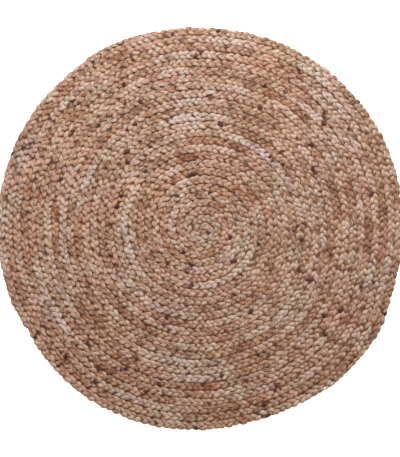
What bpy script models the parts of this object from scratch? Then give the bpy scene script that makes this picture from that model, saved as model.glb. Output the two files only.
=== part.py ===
"""Round braided jute rug, lying flat.

Two three-strand braids, side by side, are coiled together clockwise from the
centre and sewn edge to edge, so the rug is a single flat mat.  Its top shows
the turns of the coil as low ridges with a groove between neighbours, the
second braid lying a little lower than the first.  Its rim is the rounded side
of the last turns, and its underside is flat.  The strands are left to the
surface.
"""

import math

import bmesh
import bpy

MM = 0.001

# Driving dimensions
MEAN_RADIUS = 450 * MM       # average radius of the finished rug
BRAID_PITCH = 17.1 * MM      # width that each sewn braid takes up
FIRST_HEIGHT = 10.0 * MM     # thickness at the crest of the first braid
SECOND_HEIGHT = 9.2 * MM     # thickness at the crest of the second braid
GROOVE_HEIGHT = 7.0 * MM     # thickness at the grooves between them
CENTRE_RADIUS = 6 * MM       # radius at which the two braids start
CENTRE_SHIFT = (6 * MM, -1.5 * MM)   # the coil starts a little off the middle
RIM_HEIGHT = 5.2 * MM        # height of the widest line round the rim
RIM_FOOT_HEIGHT = 1.8 * MM   # height at which the rim starts to turn under
RIM_FOOT_INSET = 0.8 * MM
SOLE_INSET = 3.4 * MM        # the flat underside stops this far inside the rim

# Steps along the coil, counted from where the first braid starts.  The second
# braid starts half a turn earlier, on the other side of the centre.
STEPS_PER_TURN = 60
FIRST_START = 0
FIRST_END = 766
SECOND_START = -30
SECOND_END = 732
SECOND_END_ANGLE = 298.0     # degrees, where the second braid is tucked in
TAPER_STEPS = 7              # steps over which a braid narrows to its end
RISE_STEPS = 9               # steps over which a braid rises at its start

# The rim, counter-clockwise from +X: it stands out or draws in where the coil
# was pulled tighter, and bulges just before each braid narrows to its end.
RIM_COLUMNS = ("angle_deg", "bulge_mm")
RIM = [
    (0, -1.5),
    (20, 2.5),
    (50, 0.5),
    (70, -2.0),
    (85, -5.0),
    (100, -2.0),
    (120, 5.0),
    (130, 1.0),
    (150, 2.0),
    (180, 1.0),
    (200, 0.0),
    (210, -4.5),
    (222, 0.0),
    (235, 2.5),
    (250, 2.0),
    (270, -3.0),
    (285, -5.5),
    (300, -3.0),
    (312, 6.0),
    (330, 8.5),
    (341, 0.0),
    (350, -2.5),
]

JUTE_COLOUR = (0.365, 0.224, 0.156, 1.0)
JUTE_ROUGHNESS = 0.85
JUTE_METALLIC = 0.0

PAIR_PITCH = 2 * BRAID_PITCH
LAST_STEP = SECOND_END + STEPS_PER_TURN     # the line round the second braid ends here
LINE_ENDS = (LAST_STEP, FIRST_END)


def smooth(x):
    """Ease from 0 to 1 as x goes from 0 to 1."""
    x = min(max(x, 0.0), 1.0)
    return x * x * (3.0 - 2.0 * x)


def rim_radius(angle):
    """Radius of the rim in a direction given in radians."""
    degrees = math.degrees(angle) % 360.0
    rows = RIM + [(RIM[0][0] + 360, RIM[0][1])]
    for (start, low), (end, high) in zip(rows, rows[1:]):
        if start <= degrees <= end:
            share = smooth((degrees - start) / (end - start))
            return MEAN_RADIUS + (low + (high - low) * share) * MM
    raise ValueError("the rim table must start at 0 degrees")


def step_angle(step):
    """Direction of a step of the coil; the coil runs clockwise outwards."""
    turns_left = (SECOND_END - step) / STEPS_PER_TURN
    return math.radians(SECOND_END_ANGLE) + 2.0 * math.pi * turns_left


def line_radius(line, step):
    """Radius of a groove line in an evenly pulled coil.

    Line 0 runs inside the first braid and line 1 between the two.  Each ends
    by closing in on the other, as the braid inside it narrows to its end.
    """
    narrowing = 1.0 - smooth((LINE_ENDS[line] - step) / TAPER_STEPS)
    return CENTRE_RADIUS + PAIR_PITCH * step / STEPS_PER_TURN + BRAID_PITCH * (line - narrowing)


def line_height(line, step):
    """Height of a groove line, lower where it is the rim."""
    first = (FIRST_END, SECOND_END)[line]
    out = smooth((step - first) / TAPER_STEPS) * smooth((LINE_ENDS[line] - step) / TAPER_STEPS)
    return GROOVE_HEIGHT + (RIM_HEIGHT - GROOVE_HEIGHT) * out


def rim_line_radius(step):
    """Radius of the outermost line in the direction of a step, in an even coil."""
    last = SECOND_END + (step - SECOND_END) % STEPS_PER_TURN
    return line_radius(1 if last < FIRST_END else 0, last)


def point(step, radius, height):
    """A point of the rug, from its radius in an evenly pulled coil."""
    angle = step_angle(step)
    outermost = rim_line_radius(step)
    share = radius / outermost
    stretch = rim_radius(angle) / outermost - 1.0
    reach = radius * (1.0 + stretch * share ** 2)
    off = (1.0 - min(share, 1.0)) ** 2
    x = reach * math.cos(angle) + CENTRE_SHIFT[0] * off
    y = reach * math.sin(angle) + CENTRE_SHIFT[1] * off
    return (x, y, height)


def add_line(bm, line, start):
    """The corners of a groove line, by step."""
    corners = {}
    for step in range(start, LINE_ENDS[line]):
        corners[step] = bm.verts.new(point(step, line_radius(line, step), line_height(line, step)))
    return corners


def add_braid(bm, inside, outside, steps, crest_height):
    """The two slopes of a braid between its lines; gives back its first crest corner.

    inside and outside hold the corners of its lines by step of the braid.
    """
    start, end = steps
    crests = {}
    for step in range(start, end):
        inner, outer = (line[step].co.xy.length for line in (inside, outside))
        middle = (inside[step].co + outside[step].co) / 2.0
        rise = smooth((step - start) / RISE_STEPS)
        fall = math.sqrt(min(max(outer - inner, 0.0) / BRAID_PITCH, 1.0))
        middle.z = GROOVE_HEIGHT + (crest_height - GROOVE_HEIGHT) * rise * fall
        crests[step] = bm.verts.new(middle)
    crests[end] = inside[end]
    for step in range(start, end):
        add_face(bm, inside[step], inside[step + 1], crests[step + 1], crests[step])
        add_face(bm, crests[step], crests[step + 1], outside[step + 1], outside[step])
    return crests[start]


def add_face(bm, *corners):
    """A face from its corners, leaving out a corner named twice."""
    different = list(dict.fromkeys(corners))
    if len(different) > 2:
        bm.faces.new(different)


def add_top(bm):
    """Both braids and the centre; gives back the closed line of the rim."""
    line_0 = add_line(bm, 0, FIRST_START)
    line_1 = add_line(bm, 1, SECOND_START)
    line_1[FIRST_END] = line_0[FIRST_END]
    line_0[LAST_STEP] = line_1[SECOND_END]

    beyond = {step - STEPS_PER_TURN: corner for step, corner in line_0.items()}
    first = add_braid(bm, line_0, line_1, (FIRST_START, FIRST_END), FIRST_HEIGHT)
    second = add_braid(bm, line_1, beyond, (SECOND_START, SECOND_END), SECOND_HEIGHT)

    centre = bm.verts.new((*CENTRE_SHIFT, FIRST_HEIGHT))
    half = STEPS_PER_TURN // 2
    for line, start, crest, other in (
        (line_1, SECOND_START, first, line_0),
        (line_0, FIRST_START, second, line_1),
    ):
        last = start + half - 1
        for step in range(start, last):
            add_face(bm, centre, line[step], line[step + 1])
        begin = other[FIRST_START if other is line_0 else SECOND_START]
        add_face(bm, centre, line[last], begin)
        add_face(bm, begin, line[last], crest)
        add_face(bm, crest, line[last], line[last + 1])

    rim = [line_1[step] for step in range(SECOND_END, FIRST_END)]
    return rim + [line_0[step] for step in range(FIRST_END, LAST_STEP)]


def add_side(bm, rim):
    """The rounded side of the last turns, and the flat underside."""
    upper = rim
    for inset, height in ((RIM_FOOT_INSET, RIM_FOOT_HEIGHT), (SOLE_INSET, 0.0)):
        lower = []
        for vert in rim:
            share = 1.0 - inset / vert.co.xy.length
            lower.append(bm.verts.new((vert.co.x * share, vert.co.y * share, height)))
        for index in range(len(rim)):
            after = (index + 1) % len(rim)
            add_face(bm, upper[index], upper[after], lower[after], lower[index])
        upper = lower
    add_face(bm, *upper)


def centre_on_origin(bm):
    """Put the middle of the bounding rectangle over the origin."""
    xs = [vert.co.x for vert in bm.verts]
    ys = [vert.co.y for vert in bm.verts]
    shift = (-(min(xs) + max(xs)) / 2.0, -(min(ys) + max(ys)) / 2.0, 0.0)
    bmesh.ops.translate(bm, vec=shift, verts=bm.verts)


def jute():
    """Undyed jute: matt, a warm tan."""
    material = bpy.data.materials.new("jute")
    material.use_nodes = True
    shader = material.node_tree.nodes["Principled BSDF"]
    shader.inputs["Base Color"].default_value = JUTE_COLOUR
    shader.inputs["Roughness"].default_value = JUTE_ROUGHNESS
    shader.inputs["Metallic"].default_value = JUTE_METALLIC
    return material


def make_rug():
    """The whole rug as one closed solid."""
    bm = bmesh.new()
    rim = add_top(bm)
    add_side(bm, rim)
    centre_on_origin(bm)
    bmesh.ops.recalc_face_normals(bm, faces=bm.faces)
    mesh = bpy.data.meshes.new("rug")
    bm.to_mesh(mesh)
    bm.free()
    mesh.shade_smooth()
    mesh.set_sharp_from_angle(angle=math.radians(50))
    rug = bpy.data.objects.new("rug", mesh)
    rug.data.materials.append(jute())
    bpy.context.scene.collection.objects.link(rug)
    return rug


def main():
    for leftover in list(bpy.data.objects):
        bpy.data.objects.remove(leftover, do_unlink=True)
    make_rug()


main()
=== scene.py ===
"""Looks of a round jute rug: two three-strand braids, coiled together and sewn edge to edge."""
import math
from functools import partial

import bpy
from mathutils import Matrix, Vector, noise


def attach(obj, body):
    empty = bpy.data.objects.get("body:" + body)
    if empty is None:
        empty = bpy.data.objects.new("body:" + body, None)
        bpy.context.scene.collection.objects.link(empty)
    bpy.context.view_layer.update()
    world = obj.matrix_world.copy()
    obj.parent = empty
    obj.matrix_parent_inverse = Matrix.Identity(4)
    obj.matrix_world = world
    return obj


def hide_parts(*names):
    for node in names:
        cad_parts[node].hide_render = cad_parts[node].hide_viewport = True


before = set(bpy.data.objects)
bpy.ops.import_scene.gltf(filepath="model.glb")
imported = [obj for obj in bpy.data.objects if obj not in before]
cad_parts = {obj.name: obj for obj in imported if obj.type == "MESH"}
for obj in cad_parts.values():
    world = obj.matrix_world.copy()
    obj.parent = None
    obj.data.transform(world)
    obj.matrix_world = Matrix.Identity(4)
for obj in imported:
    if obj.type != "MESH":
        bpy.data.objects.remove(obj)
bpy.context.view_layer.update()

MM = 0.001
TAU = 2.0 * math.pi

# The coil, as in the CAD: turns are counted from where the first braid starts
BRAID_PITCH = 17.1 * MM      # width that each sewn braid takes up
PAIR_PITCH = 2.0 * BRAID_PITCH
CENTRE_RADIUS = 6.0 * MM
CENTRE_SHIFT = Vector((6.0, -1.5, 0.0)) * MM   # the coil starts a little off the middle
STARTS = (-0.40, -0.90)      # turns at which the two braids come out of the knot in the middle
ENDS = (766 / 60, 732 / 60)  # turns at which they are tucked in at the rim
SECOND_END_ANGLE = math.radians(298.0)
TAPER_TURNS = 7 / 60         # turns over which a braid narrows to its end
START_WIDTH = 0.55           # share of its width that a braid starts with
WIDEN_TURNS = 0.4            # turns over which it widens to the whole
FOOT_HEIGHTS = (1.0 * MM, 3.0 * MM)   # the CAD's ring of corners just above its sole is between these
RIM_FOOT_INSET = 0.8 * MM    # and this far inside the rim
LOOP_REACH = 1.5 * MM        # the loops of the last braids stand out this far from their even width
RIM_STEPS = 720              # directions in which the rim's radius is kept
WANDER = 1.9 * MM            # how unevenly the turns lie beside each other
WANDER_SIZE = 45.0 * MM      # distance over which that changes
WANDER_SEED = Vector((3.1, 7.7, 0.0))
WANDER_FADE = 1 / 12         # it fades out over this share of the radius towards the rim

# The braids
REPEATS = (43.0 * MM, 48.5 * MM)   # length in which a strand crosses over and back, middle and rim
LEAN = 1.0                   # 1 or -1: which way the strands lean on the upper face
SWAY = 5.3 * MM              # how far a strand swings to each side
FLAT_SWAY = 0.01             # share of a third wave that keeps it longer at the sides
LIFT = 2.2 * MM              # how far it rises and dives
LOWEST = 0.375               # share of a repeat at which it is lowest
STRAND_WIDTH = 8.5 * MM
STRAND_THICKNESS = 5.4 * MM
PLUMP_ON_TOP = 0.20          # share by which a strand is fuller on top and thinner below
MIDDLE_HEIGHTS = (5.2 * MM, 4.4 * MM)   # the second braid lies a little lower
RING_STEP = 2.35 * MM        # a strand has a ring of corners this often
SIDES = 8
FIBRE_TWIST = 85.0 * MM      # length in which the fibres of a strand go round it once
CUT_RADIUS = 310 * MM        # a strand is made in two lengths, and cut where it hides under another

# Unevenness of plaiting by hand: the length over which it changes, how much, and its seed
BRAID_BEAT = (110 * MM, 0.34, 7.0)       # where stitches fall, in repeats, for a whole braid
STRAND_BEAT = (35 * MM, 0.17, 5.0)       # and for each strand
REACH = (32 * MM, 0.60, 21.0)            # share of the sway
RISE = (40 * MM, 0.50, 31.0)             # share of the lift
STRAND_BOB = (60 * MM, 0.9 * MM, 43.0)   # height of each strand
BRAID_BOB = (220 * MM, 1.4 * MM, 51.0)   # height of a whole braid
FULLNESS = (24 * MM, 0.42, 67.0)         # share of the strand's width and thickness

# Noise runs along metres of yarn.  Each strand starts at another number of metres, and so does
# each braid, so that no two are alike.
STRAND_SHIFT = 100.0
BRAID_BEAT_SHIFT = 1000.0    # for what the three strands of a braid share in their weave
BRAID_TONE_SHIFT = 37.0      # and in their tone

# The fibre that fills the gaps between the strands, coloured dark brown as painted shade deep in the gaps
GAP_TOP = 5.0 * MM
GAP_BOTTOM = 2.6 * MM
GAP_INSET = 7.0 * MM         # it stays this far inside the rim
GAP_LUMP = (9.0 * MM, 0.45 * MM, 5.0)   # size, height and seed of its lumps
KNOT_FILL = (32.0 * MM, 1.6 * MM)  # the knot in the middle is packed this much fuller
GAP_RINGS, GAP_STEPS = 26, 180
TANGLE = 4 * MM              # size of the matted tufts

# Colours, sRGB
YARN = (
    (0.34, "9A7E6D"), (0.42, "9B7D69"), (0.48, "9C7C66"), (0.52, "9B7962"), (0.58, "99755D"),
    (0.66, "967057"),
)
KNOT_GREY = "94806D"
RUST = "844A24"
DARK_BARK = "421005"
SHINE = "F6E4D0"
# the dark browns of the gap fibre are painted shade, darker than the jute itself
MATTED_SHADE = ((0.3, "43260F"), (0.7, "6E4930"))
FLOOR_WHITE = "F6F6F6"
FLOOR_LIGHT = "FFFFFF"

# Finish of the jute
SILKINESS = 0.24             # weight of the sheen and of the gloss
ROUGHNESS = (0.80, 0.50)     # between the tufts, and on them
PLY_RELIEF = 2.0             # the plies stand out this many times as far as the tufts
STRAND_RADIUS = 3.6 * MM     # on average, for the size of what is drawn round it
TUFT = (6.2 * MM, 1.0 * MM)  # length and width of a tuft of fibres; drawn ten times coarser than jute fibre
PLY = (6.4 * MM, 2.4 * MM)   # length and width of the lumps of a ply

# Drifts of the yarn: the length over which each changes, its weight, and its seed, or no seed
# where it is a patch that reaches across the rug.

# which of the yarn colours; with the base it is 0.5 on average, the middle one
LOT_PATCH = (110 * MM, 0.45)
LOT_STRAND = (260 * MM, 0.15, 3.0)
LOT_BAND = (240 * MM, 0.60, 9.0)
LOT_BASE = -0.10
# a greener or a pinker cast; with the base it is 0 on average
CAST_PATCH = (75 * MM, 0.14)
CAST_STRAND = (70 * MM, 0.09, 41.0)
CAST_BRAID = (130 * MM, 0.10, 47.0)
CAST_BASE = -0.165
# how bright
STITCH_TONE = (19 * MM, 0.80, 11.0)
STRAND_TONE = (150 * MM, 0.40, 13.0)
SHORT_TONE = (45 * MM, 0.85, 17.0)
LONG_TONE = (170 * MM, 0.65, 19.0)
FADED_TONE = (36 * MM, 0.75)
BAND_TONE = -0.60            # the warmer lots are darker
TUFT_TONE = 1.45
PLY_TONE = 2.00
SECOND_DULLER = 0.11         # the second braid is spun from slightly duller jute
DIMMEST, BRIGHTEST = 0.30, 1.38
# rusty and dark fibre; each shows where its drifts rise through two levels, up to a share
RUST_STRAND = (26 * MM, 0.55, 23.0)
RUST_BRAID = (110 * MM, 0.45, 29.0)
RUST_LEVELS, RUST_SHARE = (0.60, 0.67), 0.62
DARK_STRAND = (22 * MM, 1.0, 61.0)
DARK_BRAID = (60 * MM, 0.5, 67.0)
DARK_LEVELS, DARK_SHARE = (0.97, 1.06), 0.97
# metres of braid between which the middle's extra rust and the knot's grey run out, and how much
RUST_MIDDLE = (0.3, 1.0, 0.05)
KNOT_END = (0.06, 0.17, 0.6)

# Painted shade: the hollows between strands are coloured darker than the crests and the sole, whose heights
# these are.
# The powers are how strongly red, green and blue follow the brightness and the painted shade in the
# hollows.
CREST_HEIGHTS = (5.0 * MM, 9.5 * MM)
SOLE_HEIGHTS = (3.6 * MM, 0.4 * MM)
HOLLOW_SHADE_TONE, CREST_GAIN = 0.73, 0.35
CHANNEL_POWERS = ((0.72, 0.20), (1.0, 1.0), (1.26, 1.90))

# The studio, in metres and watts; the colours of the lights are linear
FLOOR_REACH = 40.0           # to each side
FLOOR_DROP = 0.2 * MM        # the floor lies this far below the rug
FLOOR_GLOW = 0.8
FILL_COLOUR, FILL_STRENGTH = (1.22, 0.98, 0.76, 1.0), 0.345
KEY_PLACE = (0.15, 1.42, 1.68)
KEY_COLOUR = (0.90, 1.0, 1.12)
KEY_SIZE, KEY_POWER = 1.2, 87.5
CAMERA_HEIGHT = 2.6
FRAME_HEIGHT = 1.0133        # length of floor from the top of the view to its bottom
SENSOR = 36.0                # mm

# Kinds of node that are used many times
MATH = "ShaderNodeMath"
VECTOR_MATH = "ShaderNodeVectorMath"
COMBINE = "ShaderNodeCombineXYZ"
NOISE = "ShaderNodeTexNoise"
MAP = "ShaderNodeMapRange"
MIX = "ShaderNodeMix"
STORED = "GeometryNodeInputNamedAttribute"


def fill(tree, made, inputs):
    """Set or link a node's inputs, by name or number; a node given stands for its first output."""
    for name, value in inputs.items():
        if isinstance(value, bpy.types.Node):
            value = value.outputs[0]
        if isinstance(value, bpy.types.NodeSocket):
            tree.links.new(value, made.inputs[name])
        else:
            made.inputs[name].default_value = value


def node(tree, kind, inputs=(), stops=(), **settings):
    """Add a node, make its settings, and fill its inputs, given in order or by name.

    Stops are the (place, sRGB hex) of a colour ramp.
    """
    made = tree.nodes.new(kind)
    for name, value in settings.items():
        setattr(made, name, value)
    fill(tree, made, inputs if isinstance(inputs, dict) else dict(enumerate(inputs)))
    for place, (position, code) in enumerate(stops):
        elements = made.color_ramp.elements
        if place >= len(elements):
            elements.new(position)
        elements[place].position = position
        elements[place].color = linear(code)
    return made


def linear(code):
    """A colour given as sRGB hex, as the linear numbers that a shader reads."""
    parts = [int(code[i:i + 2], 16) / 255.0 for i in (0, 2, 4)]
    return [c / 12.92 if c <= 0.04045 else ((c + 0.055) / 1.055) ** 2.4 for c in parts] + [1.0]


def smooth(x):
    """Ease from 0 to 1 as x goes from 0 to 1."""
    x = min(max(x, 0.0), 1.0)
    return x * x * (3.0 - 2.0 * x)


# ---------------------------------------------------------------- the coil

class Rim:
    """The rug's outline, read from the corners of the CAD's solid."""

    def __init__(self, rug):
        floor, ceiling = FOOT_HEIGHTS
        ring = [v.co.copy() for v in rug.data.vertices if floor < v.co.z < ceiling]
        low = [min(co[i] for co in ring) for i in range(2)]
        high = [max(co[i] for co in ring) for i in range(2)]
        self.middle = Vector(((low[0] + high[0]) / 2, (low[1] + high[1]) / 2, 0.0))
        out = RIM_FOOT_INSET - LOOP_REACH
        rows = sorted({round(math.atan2(co.y, co.x) % TAU, 3): co.xy.length + out for co in ring}.items())
        rows = [(rows[-1][0] - TAU, rows[-1][1])] + rows + [(rows[0][0] + TAU, rows[0][1])]
        self.radii = []
        place = 0
        for step in range(RIM_STEPS):
            angle = TAU * step / RIM_STEPS
            while rows[place + 1][0] < angle:
                place += 1
            (a0, r0), (a1, r1) = rows[place], rows[place + 1]
            self.radii.append(r0 + (r1 - r0) * (angle - a0) / (a1 - a0))

    def radius(self, angle):
        """Radius of the rim in a direction given in radians."""
        share = (angle % TAU) / TAU * RIM_STEPS
        step = int(share)
        first, second = self.radii[step % RIM_STEPS], self.radii[(step + 1) % RIM_STEPS]
        return first + (second - first) * (share - step)


def line_radius(line, turn):
    """Radius of the line inside the first braid (0) or between the two (1), evenly coiled."""
    end = (ENDS[1] + 1.0, ENDS[0])[line]
    narrowing = 1.0 - smooth((end - turn) / TAPER_TURNS)
    return CENTRE_RADIUS + PAIR_PITCH * turn + BRAID_PITCH * (line - narrowing)


def rim_line_radius(turn):
    """Radius of the outermost line in the direction of a turn, evenly coiled."""
    last = ENDS[1] + (turn - ENDS[1]) % 1.0
    return line_radius(1 if last < ENDS[0] else 0, last)


def braid_place(rim, braid, turn):
    """A point on a braid's middle line, and the share of its full width there."""
    if braid == 0:
        inner, outer = line_radius(0, turn), line_radius(1, turn)
    else:
        inner, outer = line_radius(1, turn), line_radius(0, turn + 1.0)
    radius = max((inner + outer) / 2.0, 0.0)
    angle = SECOND_END_ANGLE + TAU * (ENDS[1] - turn)
    outermost = rim_line_radius(turn)
    share = radius / outermost
    pull = 1.0 + (rim.radius(angle) / outermost - 1.0) * share ** 2
    way = Vector((math.cos(angle), math.sin(angle), 0.0))
    flat = way * radius * pull + CENTRE_SHIFT * (1.0 - min(share, 1.0)) ** 2
    unevenness = noise.noise(flat / WANDER_SIZE + WANDER_SEED)
    flat += way * unevenness * WANDER * min(1.0, (1.0 - share) / WANDER_FADE)
    widened = smooth((turn - STARTS[braid]) / WIDEN_TURNS)
    start = START_WIDTH + (1.0 - START_WIDTH) * widened
    return flat, (outer - inner) / BRAID_PITCH * pull * start


def braid_points(rim, braid):
    """Points along a braid's middle line, with the length and repeats so far and the width share."""
    turn, along, beats = STARTS[braid], 0.0, 0.0
    points = []
    while turn < ENDS[braid]:
        spot, width = braid_place(rim, braid, turn)
        points.append((spot, along, beats, width))
        here = spot.xy.length
        turn += RING_STEP / (TAU * max(here, CENTRE_RADIUS))
        along += RING_STEP
        # the braid is plaited a little tighter in the middle
        share = min(turn / ENDS[0], 1.0)
        beats += RING_STEP / (REPEATS[0] + (REPEATS[1] - REPEATS[0]) * max(share, 0.0))
    return points


def chain(name, points):
    """A chain of corners with the braid's length so far and its width on each."""
    mesh = bpy.data.meshes.new(name)
    mesh.from_pydata([p[0] for p in points], [(i, i + 1) for i in range(len(points) - 1)], [])
    for title, column in (("along", 1), ("beats", 2), ("narrow", 3)):
        values = mesh.attributes.new(title, "FLOAT", "POINT")
        values.data.foreach_set("value", [p[column] for p in points])
    piece = bpy.data.objects.new(name, mesh)
    bpy.context.scene.collection.objects.link(piece)
    return piece


def weave_tree():
    """Node tree that swings one strand of a braid about the braid's middle line."""
    tree = bpy.data.node_groups.new("weave strand", "GeometryNodeTree")
    face = tree.interface
    face.new_socket("Geometry", in_out="INPUT", socket_type="NodeSocketGeometry")
    for name in ("Turn", "Own shift", "Braid shift", "Lean", "Sway", "Lift", "Middle height", "Width",
                 "Thickness", "Unevenness", "Fibre twist"):
        face.new_socket(name, in_out="INPUT", socket_type="NodeSocketFloat")
    face.new_socket("Sides", in_out="INPUT", socket_type="NodeSocketInt")
    face.new_socket("Jute", in_out="INPUT", socket_type="NodeSocketMaterial")
    face.new_socket("Geometry", in_out="OUTPUT", socket_type="NodeSocketGeometry")
    put = partial(node, tree)
    given = put("NodeGroupInput").outputs

    along = put(STORED, {"Name": "along"}, data_type="FLOAT")
    narrow = put(STORED, {"Name": "narrow"}, data_type="FLOAT")
    own = put(MATH, (along, given["Own shift"]), operation="ADD")
    shared = put(MATH, (along, given["Braid shift"]), operation="ADD")

    def uneven(base, run, spread):
        """A base with smooth noise along a run added, from its (length, amount, seed)."""
        length, amount, seed = spread
        spot = put(MATH, (run, seed), operation="ADD")
        wave = put(NOISE, {"W": spot, "Scale": 1.0 / length, "Detail": 1.0}, noise_dimensions="1D")
        wave = put(MATH, (wave, 2.0, -1.0), operation="MULTIPLY_ADD")
        wave = put(MATH, (wave, given["Unevenness"]), operation="MULTIPLY")
        return put(MATH, (wave, amount, base), operation="MULTIPLY_ADD")

    # how far the strand is through its repeats
    beats = put(STORED, {"Name": "beats"}, data_type="FLOAT")
    beats = put(MATH, (beats, given["Turn"]), operation="ADD")
    beats = uneven(beats, shared, BRAID_BEAT)
    beats = uneven(beats, own, STRAND_BEAT)
    phase = put(MATH, (beats, TAU), operation="MULTIPLY")
    phase = put(MATH, (phase, given["Lean"]), operation="MULTIPLY")

    # it swings from side to side once in a repeat
    sway = put(MATH, (phase,), operation="SINE")
    flatter = put(MATH, (phase, 3.0), operation="MULTIPLY")
    flatter = put(MATH, (flatter,), operation="SINE")
    sway = put(MATH, (flatter, FLAT_SWAY, sway), operation="MULTIPLY_ADD")
    sway = put(MATH, (sway, uneven(1.0, own, REACH)), operation="MULTIPLY")
    sway = put(MATH, (sway, narrow), operation="MULTIPLY")
    sway = put(MATH, (sway, given["Sway"]), operation="MULTIPLY")

    # and passes over and under the others twice
    crossing = put(MATH, (phase, 2.0), operation="MULTIPLY")
    crossing = put(MATH, (crossing,), operation="SINE")
    rise = put(MATH, (crossing, uneven(1.0, own, RISE)), operation="MULTIPLY")
    height = uneven(given["Middle height"], own, STRAND_BOB)
    height = uneven(height, shared, BRAID_BOB)
    height = put(MATH, (rise, given["Lift"], height), operation="MULTIPLY_ADD")

    line = put("GeometryNodeMeshToCurve", {"Mesh": given["Geometry"]})
    along_line = put("GeometryNodeInputTangent")
    outward = put(VECTOR_MATH, ((0.0, 0.0, 1.0), along_line), operation="CROSS_PRODUCT")
    outward = put(VECTOR_MATH, (outward,), operation="NORMALIZE")
    side = put(VECTOR_MATH, {0: outward, "Scale": sway}, operation="SCALE")
    move = put(VECTOR_MATH, (side, put(COMBINE, {"Z": height})), operation="ADD")
    line = put("GeometryNodeSetPosition", {"Geometry": line, "Offset": move})
    line = put("GeometryNodeSetCurveNormal", {"Curve": line}, mode="Z_UP")

    # a strand is fullest where it lies on top, and squeezed where it passes under
    plump = uneven(1.0, own, FULLNESS)
    plump = put(MATH, (crossing, PLUMP_ON_TOP, plump), operation="MULTIPLY_ADD")
    plump = put(MATH, (plump, narrow), operation="MULTIPLY")

    ring = put("GeometryNodeCurvePrimitiveCircle", {"Resolution": given["Sides"], "Radius": 0.5})
    around = put(MATH, (put("GeometryNodeInputIndex"), given["Sides"]), operation="DIVIDE")
    ring = put("GeometryNodeStoreNamedAttribute", {"Geometry": ring, "Name": "around", "Value": around},
               data_type="FLOAT", domain="POINT")
    size = put(COMBINE, (given["Width"], given["Thickness"], 1.0))
    ring = put("GeometryNodeTransform", {"Geometry": ring, "Scale": size})
    tube = put("GeometryNodeCurveToMesh",
               {"Curve": line, "Profile Curve": ring, "Scale": plump, "Fill Caps": True})

    # the underside is pressed flat where it lies on the floor
    x, y, z = put("ShaderNodeSeparateXYZ", (put("GeometryNodeInputPosition"),)).outputs
    z = put(MATH, (z, 0.0), operation="MAXIMUM")
    tube = put("GeometryNodeSetPosition", {"Geometry": tube, "Position": put(COMBINE, (x, y, z))})

    # own length, and the direction round the strand that turns with its fibres
    twist = put(MATH, (along, given["Fibre twist"]), operation="DIVIDE")
    twist = put(MATH, (twist, put(STORED, {"Name": "around"}, data_type="FLOAT")), operation="ADD")
    twist = put(MATH, (twist, TAU), operation="MULTIPLY")
    across = put(MATH, (twist,), operation="COSINE")
    over = put(MATH, (twist,), operation="SINE")
    lay = put(COMBINE, (own, across, over))
    tube = put("GeometryNodeStoreNamedAttribute", {"Geometry": tube, "Name": "lay", "Value": lay},
               data_type="FLOAT_VECTOR", domain="POINT")
    for name in ("around", "along", "beats", "narrow"):
        tube = put("GeometryNodeRemoveAttribute", {"Geometry": tube, "Name": name})
    tube = put("GeometryNodeSetShadeSmooth", {"Geometry": tube})
    tube = put("GeometryNodeRealizeInstances", {"Geometry": tube})
    tube = put("GeometryNodeSetMaterial", {"Geometry": tube, "Material": given["Jute"]})
    put("NodeGroupOutput", {"Geometry": tube})
    return tree


def make_plain(piece, tree, values):
    """Run a node tree on a piece, then keep its result as a plain mesh."""
    maker = piece.modifiers.new("make", "NODES")
    maker.node_group = tree
    for item in tree.interface.items_tree:
        if item.in_out == "INPUT" and item.name in values:
            maker[item.identifier] = values[item.name]
    graph = bpy.context.evaluated_depsgraph_get()
    made = bpy.data.meshes.new_from_object(piece.evaluated_get(graph), preserve_all_data_layers=True,
                                           depsgraph=graph)
    piece.modifiers.clear()
    old, piece.data = piece.data, made
    made.name = piece.name
    bpy.data.meshes.remove(old)
    return piece


def make_strands(rim, jute):
    """Three strands for each braid, each in an inner and an outer length."""
    tree = weave_tree()
    under = LOWEST * LEAN % 0.5      # it is lowest twice in a repeat
    made = []
    for braid in range(2):
        points = braid_points(rim, braid)
        for number in range(3):
            cut = next(i for i, p in enumerate(points) if p[0].length > CUT_RADIUS)
            beats = points[cut][2] + number / 3.0
            cut += round((under - beats) % 1.0 * REPEATS[1] / RING_STEP)
            for part, run in (("inner", points[:cut + 1]), ("outer", points[cut:])):
                name = "braid_%s_strand_%d_%s" % ("ab"[braid], number + 1, part)
                made.append(make_plain(chain(name, run), tree, {
                    "Turn": number / 3.0,
                    "Own shift": STRAND_SHIFT * (3 * braid + number),
                    "Braid shift": BRAID_BEAT_SHIFT + STRAND_SHIFT * braid,
                    "Lean": LEAN,
                    "Sway": SWAY,
                    "Lift": LIFT,
                    "Middle height": MIDDLE_HEIGHTS[braid],
                    "Width": STRAND_WIDTH,
                    "Thickness": STRAND_THICKNESS,
                    "Unevenness": 1.0,
                    "Fibre twist": FIBRE_TWIST,
                    "Sides": SIDES,
                    "Jute": jute,
                }))
    return made


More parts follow.
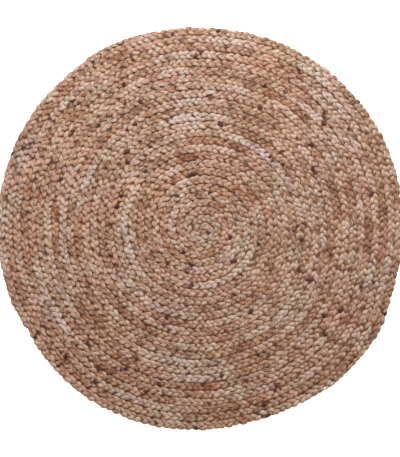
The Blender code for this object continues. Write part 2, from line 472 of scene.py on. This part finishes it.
def make_gap_shade_fibre(rim, material):
    """A thin closed mat of loose fibre, inside the rug, that closes the gaps between strands; its dark
    brown is painted shade.
    """
    rings, steps = GAP_RINGS, GAP_STEPS
    lump_size, lump_height, lump_seed = GAP_LUMP
    knot_radius, knot_height = KNOT_FILL
    corners, faces = [], []
    for side, height in ((1.0, GAP_TOP), (-1.0, GAP_BOTTOM)):
        base = len(corners)
        knot = knot_height if side > 0 else 0.0
        corners.append(Vector((0.0, 0.0, height + knot)))
        for ring in range(1, rings + 1):
            for step in range(steps):
                angle = TAU * step / steps
                reach = (rim.radius(angle) - GAP_INSET) * ring / rings
                spot = Vector((math.cos(angle) * reach, math.sin(angle) * reach, 0.0))
                lump = noise.noise(spot / lump_size + Vector((0.0, 0.0, side * lump_seed)))
                spot.z = height + lump_height * lump + knot * smooth(1.0 - reach / knot_radius)
                corners.append(spot)
        for ring in range(rings):
            for step in range(steps):
                after = (step + 1) % steps
                out = [base + 1 + ring * steps + step, base + 1 + ring * steps + after]
                if ring == 0:
                    face = [base] + out
                else:
                    face = [base + 1 + (ring - 1) * steps + step] + out
                    face.append(base + 1 + (ring - 1) * steps + after)
                faces.append(face if side > 0 else face[::-1])
    top_edge = 1 + (rings - 1) * steps
    low_edge = 1 + rings * steps + top_edge
    for step in range(steps):
        after = (step + 1) % steps
        faces.append([top_edge + after, top_edge + step, low_edge + step, low_edge + after])
    mesh = bpy.data.meshes.new("gap_shade_fibre")
    mesh.from_pydata(corners, [], faces)
    mesh.shade_smooth()
    mesh.materials.append(material)
    piece = bpy.data.objects.new("gap_shade_fibre", mesh)
    bpy.context.scene.collection.objects.link(piece)
    return piece


# ---------------------------------------------------------------- materials

def jute_material():
    """Undyed jute, loosely spun into strands.

    The eye gets a matt tan yarn, a little silky, whose brightness changes from stitch to stitch
    and whose hue drifts along each length of braid, with rusty and dark flecks, and painted shade in the
    hollows.
    """
    material = bpy.data.materials.new("undyed jute, loosely spun")
    material.use_nodes = True
    tree = material.node_tree
    put = partial(node, tree)

    lay = put("ShaderNodeAttribute", attribute_name="lay").outputs["Vector"]
    own, across, over = put("ShaderNodeSeparateXYZ", (lay,)).outputs
    place = put("ShaderNodeTexCoord").outputs["Object"]

    def drift(run, spread, detail=1.0):
        """Smooth noise along a run, 0 to 1, and its weight, from its (length, weight, seed)."""
        length, weight, seed = spread
        spot = put(MATH, (run, seed), operation="ADD")
        wave = put(NOISE, {"W": spot, "Scale": 1.0 / length, "Detail": detail}, noise_dimensions="1D")
        return wave, weight

    def weighed(base, *parts):
        """A base with each part added, times its weight."""
        for part, weight in parts:
            base = put(MATH, (part, weight, base), operation="MULTIPLY_ADD")
        return base

    def streaks(size, detail, roughness):
        """Noise of a (length, width) that runs along the strand and round it with its twist."""
        scale = STRAND_RADIUS / size[1]
        run = put(MATH, (own, 1.0 / (size[0] * scale)), operation="MULTIPLY")
        spot = put(COMBINE, (run, across, over))
        return put(NOISE, {"Vector": spot, "Scale": scale, "Detail": detail, "Roughness": roughness})

    # the length along the braid, the same for its three strands
    length = put(MATH, (own, STRAND_SHIFT), operation="MODULO")
    braid = put(MATH, (own, 3.0 * STRAND_SHIFT), operation="DIVIDE")
    braid = put(MATH, (braid,), operation="FLOOR")
    shared = put(MATH, (braid, BRAID_TONE_SHIFT, length), operation="MULTIPLY_ADD")

    # yarn lots: the hue changes slowly along each strand, along the braid and across the rug
    size, weight = LOT_PATCH
    patch = put(NOISE, {"Vector": place, "Scale": 1.0 / size, "Detail": 1.0})
    band = drift(shared, LOT_BAND)
    lot = weighed(LOT_BASE, (patch, weight), drift(own, LOT_STRAND), band)
    colour = put("ShaderNodeValToRGB", (lot,), stops=YARN).outputs[0]

    # a greener and a pinker cast in turn
    size, weight = CAST_PATCH
    patch = put(NOISE, {"Vector": place, "Scale": 1.0 / size, "Detail": 1.0})
    cast = weighed(CAST_BASE, drift(own, CAST_STRAND), drift(shared, CAST_BRAID), (patch, weight))
    red = put(MATH, (cast, -0.5, 1.0), operation="MULTIPLY_ADD")
    green = put(MATH, (cast, 1.0), operation="ADD")
    tint = put("ShaderNodeCombineColor", (red, green, 1.0)).outputs[0]
    colour = put(MIX, {0: 1.0, 6: colour, 7: tint}, data_type="RGBA", blend_type="MULTIPLY").outputs[2]

    # the coil starts with greyer yarn; some stitches have rusty bark fibre, mostly near the
    # middle and along some lengths of braid, and a few are dark
    grey = put(MAP, (length, *KNOT_END, 0.0))
    rusty = put(MAP, (length, *RUST_MIDDLE, 0.0))
    rusty = weighed(rusty, drift(own, RUST_STRAND), drift(shared, RUST_BRAID))
    rusty = put(MAP, (rusty, *RUST_LEVELS, 0.0, RUST_SHARE))
    dark = weighed(0.0, drift(own, DARK_STRAND), drift(shared, DARK_BRAID))
    dark = put(MAP, (dark, *DARK_LEVELS, 0.0, DARK_SHARE))
    for share, code in ((grey, KNOT_GREY), (rusty, RUST), (dark, DARK_BARK)):
        colour = put(MIX, {0: share, 6: colour, 7: linear(code)}, data_type="RGBA").outputs[2]

    # tufts of fibre, and the wider plies that they lie in, with darker seams between the plies
    tufts = streaks(TUFT, detail=3.0, roughness=0.65)
    plies = streaks(PLY, detail=1.0, roughness=0.5)

    # worn and faded patches reach over several turns
    size, weight = FADED_TONE
    faded = put(NOISE, {"Vector": place, "Scale": 1.0 / size, "Detail": 2.0})

    # how bright: 1 on average for the first braid
    parts = (
        drift(own, STITCH_TONE, 0.0),
        drift(own, STRAND_TONE),
        drift(shared, SHORT_TONE),
        drift(shared, LONG_TONE),
        (band[0], BAND_TONE),
        (tufts, TUFT_TONE),
        (plies, PLY_TONE),
        (faded, weight),
    )
    bright = weighed(1.0 - 0.5 * sum(weight for _, weight in parts), *parts, (braid, -SECOND_DULLER))
    bright = put("ShaderNodeClamp", (bright, DIMMEST, BRIGHTEST))
    # the knot in the middle is even in tone
    even = put(MATH, (1.0, grey), operation="SUBTRACT")
    bright = put(MATH, (bright, even, grey), operation="MULTIPLY_ADD")

    # painted shade darkens the hollows between strands, and leaves the crests and the sole a touch lighter
    height = put("ShaderNodeSeparateXYZ", (place,)).outputs[2]
    crest = put(MAP, (height, *CREST_HEIGHTS))
    sole = put(MAP, (height, *SOLE_HEIGHTS))
    unshaded = put(MATH, (crest, sole), operation="MAXIMUM")
    hollow_shade = put(MATH, (unshaded, CREST_GAIN, HOLLOW_SHADE_TONE), operation="MULTIPLY_ADD")
    # pale fibre is a little less yellow, and the painted shade in the hollows is much browner
    channels = []
    for bright_power, shade_power in CHANNEL_POWERS:
        own_tone = put(MATH, (bright, bright_power), operation="POWER")
        hollow_shade_tone = put(MATH, (hollow_shade, shade_power), operation="POWER")
        channels.append(put(MATH, (own_tone, hollow_shade_tone), operation="MULTIPLY"))
    tone = put("ShaderNodeCombineColor", channels).outputs[0]
    colour = put(MIX, {0: 1.0, 6: colour, 7: tone}, data_type="RGBA", blend_type="MULTIPLY").outputs[2]

    # fibre ends give a faint silky shine, and the tufts and plies stand in relief
    relief = put(MATH, (plies, PLY_RELIEF, tufts), operation="MULTIPLY_ADD")
    fill(tree, tree.nodes["Principled BSDF"], {
        "Base Color": colour,
        "Roughness": put(MAP, (tufts, 0.0, 1.0, *ROUGHNESS)),
        "Specular IOR Level": SILKINESS,
        "Sheen Weight": SILKINESS,
        "Sheen Roughness": 0.5,
        "Sheen Tint": linear(SHINE),
        "Normal": put("ShaderNodeBump", {"Height": relief, "Strength": 0.8, "Distance": 1.2 * MM}),
    })
    return material


def gap_shade_material():
    """Jute fibre matted between the strands, painted dark brown as the shade deep in the gaps.

    The eye gets only a dull brown tangle of painted shade deep in the gaps, where no gap shows through the
    rug.
    """
    material = bpy.data.materials.new("matted jute fibre in painted shade")
    material.use_nodes = True
    tree = material.node_tree
    put = partial(node, tree)
    place = put("ShaderNodeTexCoord").outputs["Object"]
    tangle = put(NOISE, {"Vector": place, "Scale": 1.0 / TANGLE, "Detail": 4.0})
    fill(tree, tree.nodes["Principled BSDF"], {
        "Base Color": put("ShaderNodeValToRGB", (tangle,), stops=MATTED_SHADE),
        "Roughness": 0.95,
        "Normal": put("ShaderNodeBump", {"Height": tangle, "Strength": 0.8, "Distance": 1.0 * MM}),
    })
    return material


# ---------------------------------------------------------------- the studio

def make_floor():
    """A wide plain floor, a hair below the rug."""
    reach = FLOOR_REACH
    mesh = bpy.data.meshes.new("floor")
    corners = [(-reach, -reach, 0), (reach, -reach, 0), (reach, reach, 0), (-reach, reach, 0)]
    mesh.from_pydata(corners, [], [(0, 1, 2, 3)])
    floor = bpy.data.objects.new("floor", mesh)
    floor.location.z = -FLOOR_DROP
    bpy.context.scene.collection.objects.link(floor)
    # painted matt white and lit from below: the eye gets an even pale ground, almost no shadow
    paint = bpy.data.materials.new("matt white studio floor")
    paint.use_nodes = True
    fill(paint.node_tree, paint.node_tree.nodes["Principled BSDF"], {
        "Base Color": linear(FLOOR_WHITE),
        "Roughness": 0.9,
        "Emission Color": linear(FLOOR_LIGHT),
        "Emission Strength": FLOOR_GLOW,
    })
    mesh.materials.append(paint)


def make_light():
    """One large soft key light beyond the rug's top edge, and a slightly warm fill from all round."""
    world = bpy.data.worlds.new("studio")
    bpy.context.scene.world = world
    world.use_nodes = True
    fill(world.node_tree, world.node_tree.nodes["Background"],
         {"Color": FILL_COLOUR, "Strength": FILL_STRENGTH})
    lamp = bpy.data.lights.new("key", "AREA")
    lamp.shape = "DISK"
    lamp.size = KEY_SIZE
    lamp.energy = KEY_POWER
    lamp.color = KEY_COLOUR
    key = bpy.data.objects.new("key", lamp)
    key.location = KEY_PLACE
    key.rotation_euler = (-key.location).to_track_quat("-Z", "Y").to_euler()
    bpy.context.scene.collection.objects.link(key)


def make_camera(middle):
    """Straight down, far enough for little perspective, and framed as wide as the rug needs."""
    view = bpy.data.cameras.new("from above")
    view.sensor_width = SENSOR
    view.lens = SENSOR * CAMERA_HEIGHT / FRAME_HEIGHT
    eye = bpy.data.objects.new("from above", view)
    eye.location = (middle.x, middle.y, CAMERA_HEIGHT)
    bpy.context.scene.collection.objects.link(eye)
    bpy.context.scene.camera = eye


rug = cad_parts["rug"]
rim = Rim(rug)
make_camera(rim.middle)
make_floor()
make_light()
bpy.context.scene.view_settings.view_transform = "Standard"

strands = make_strands(rim, jute_material())
gap_shade_fibre = make_gap_shade_fibre(rim, gap_shade_material())
for piece in strands + [gap_shade_fibre]:
    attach(piece, "root")
    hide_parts("rug")
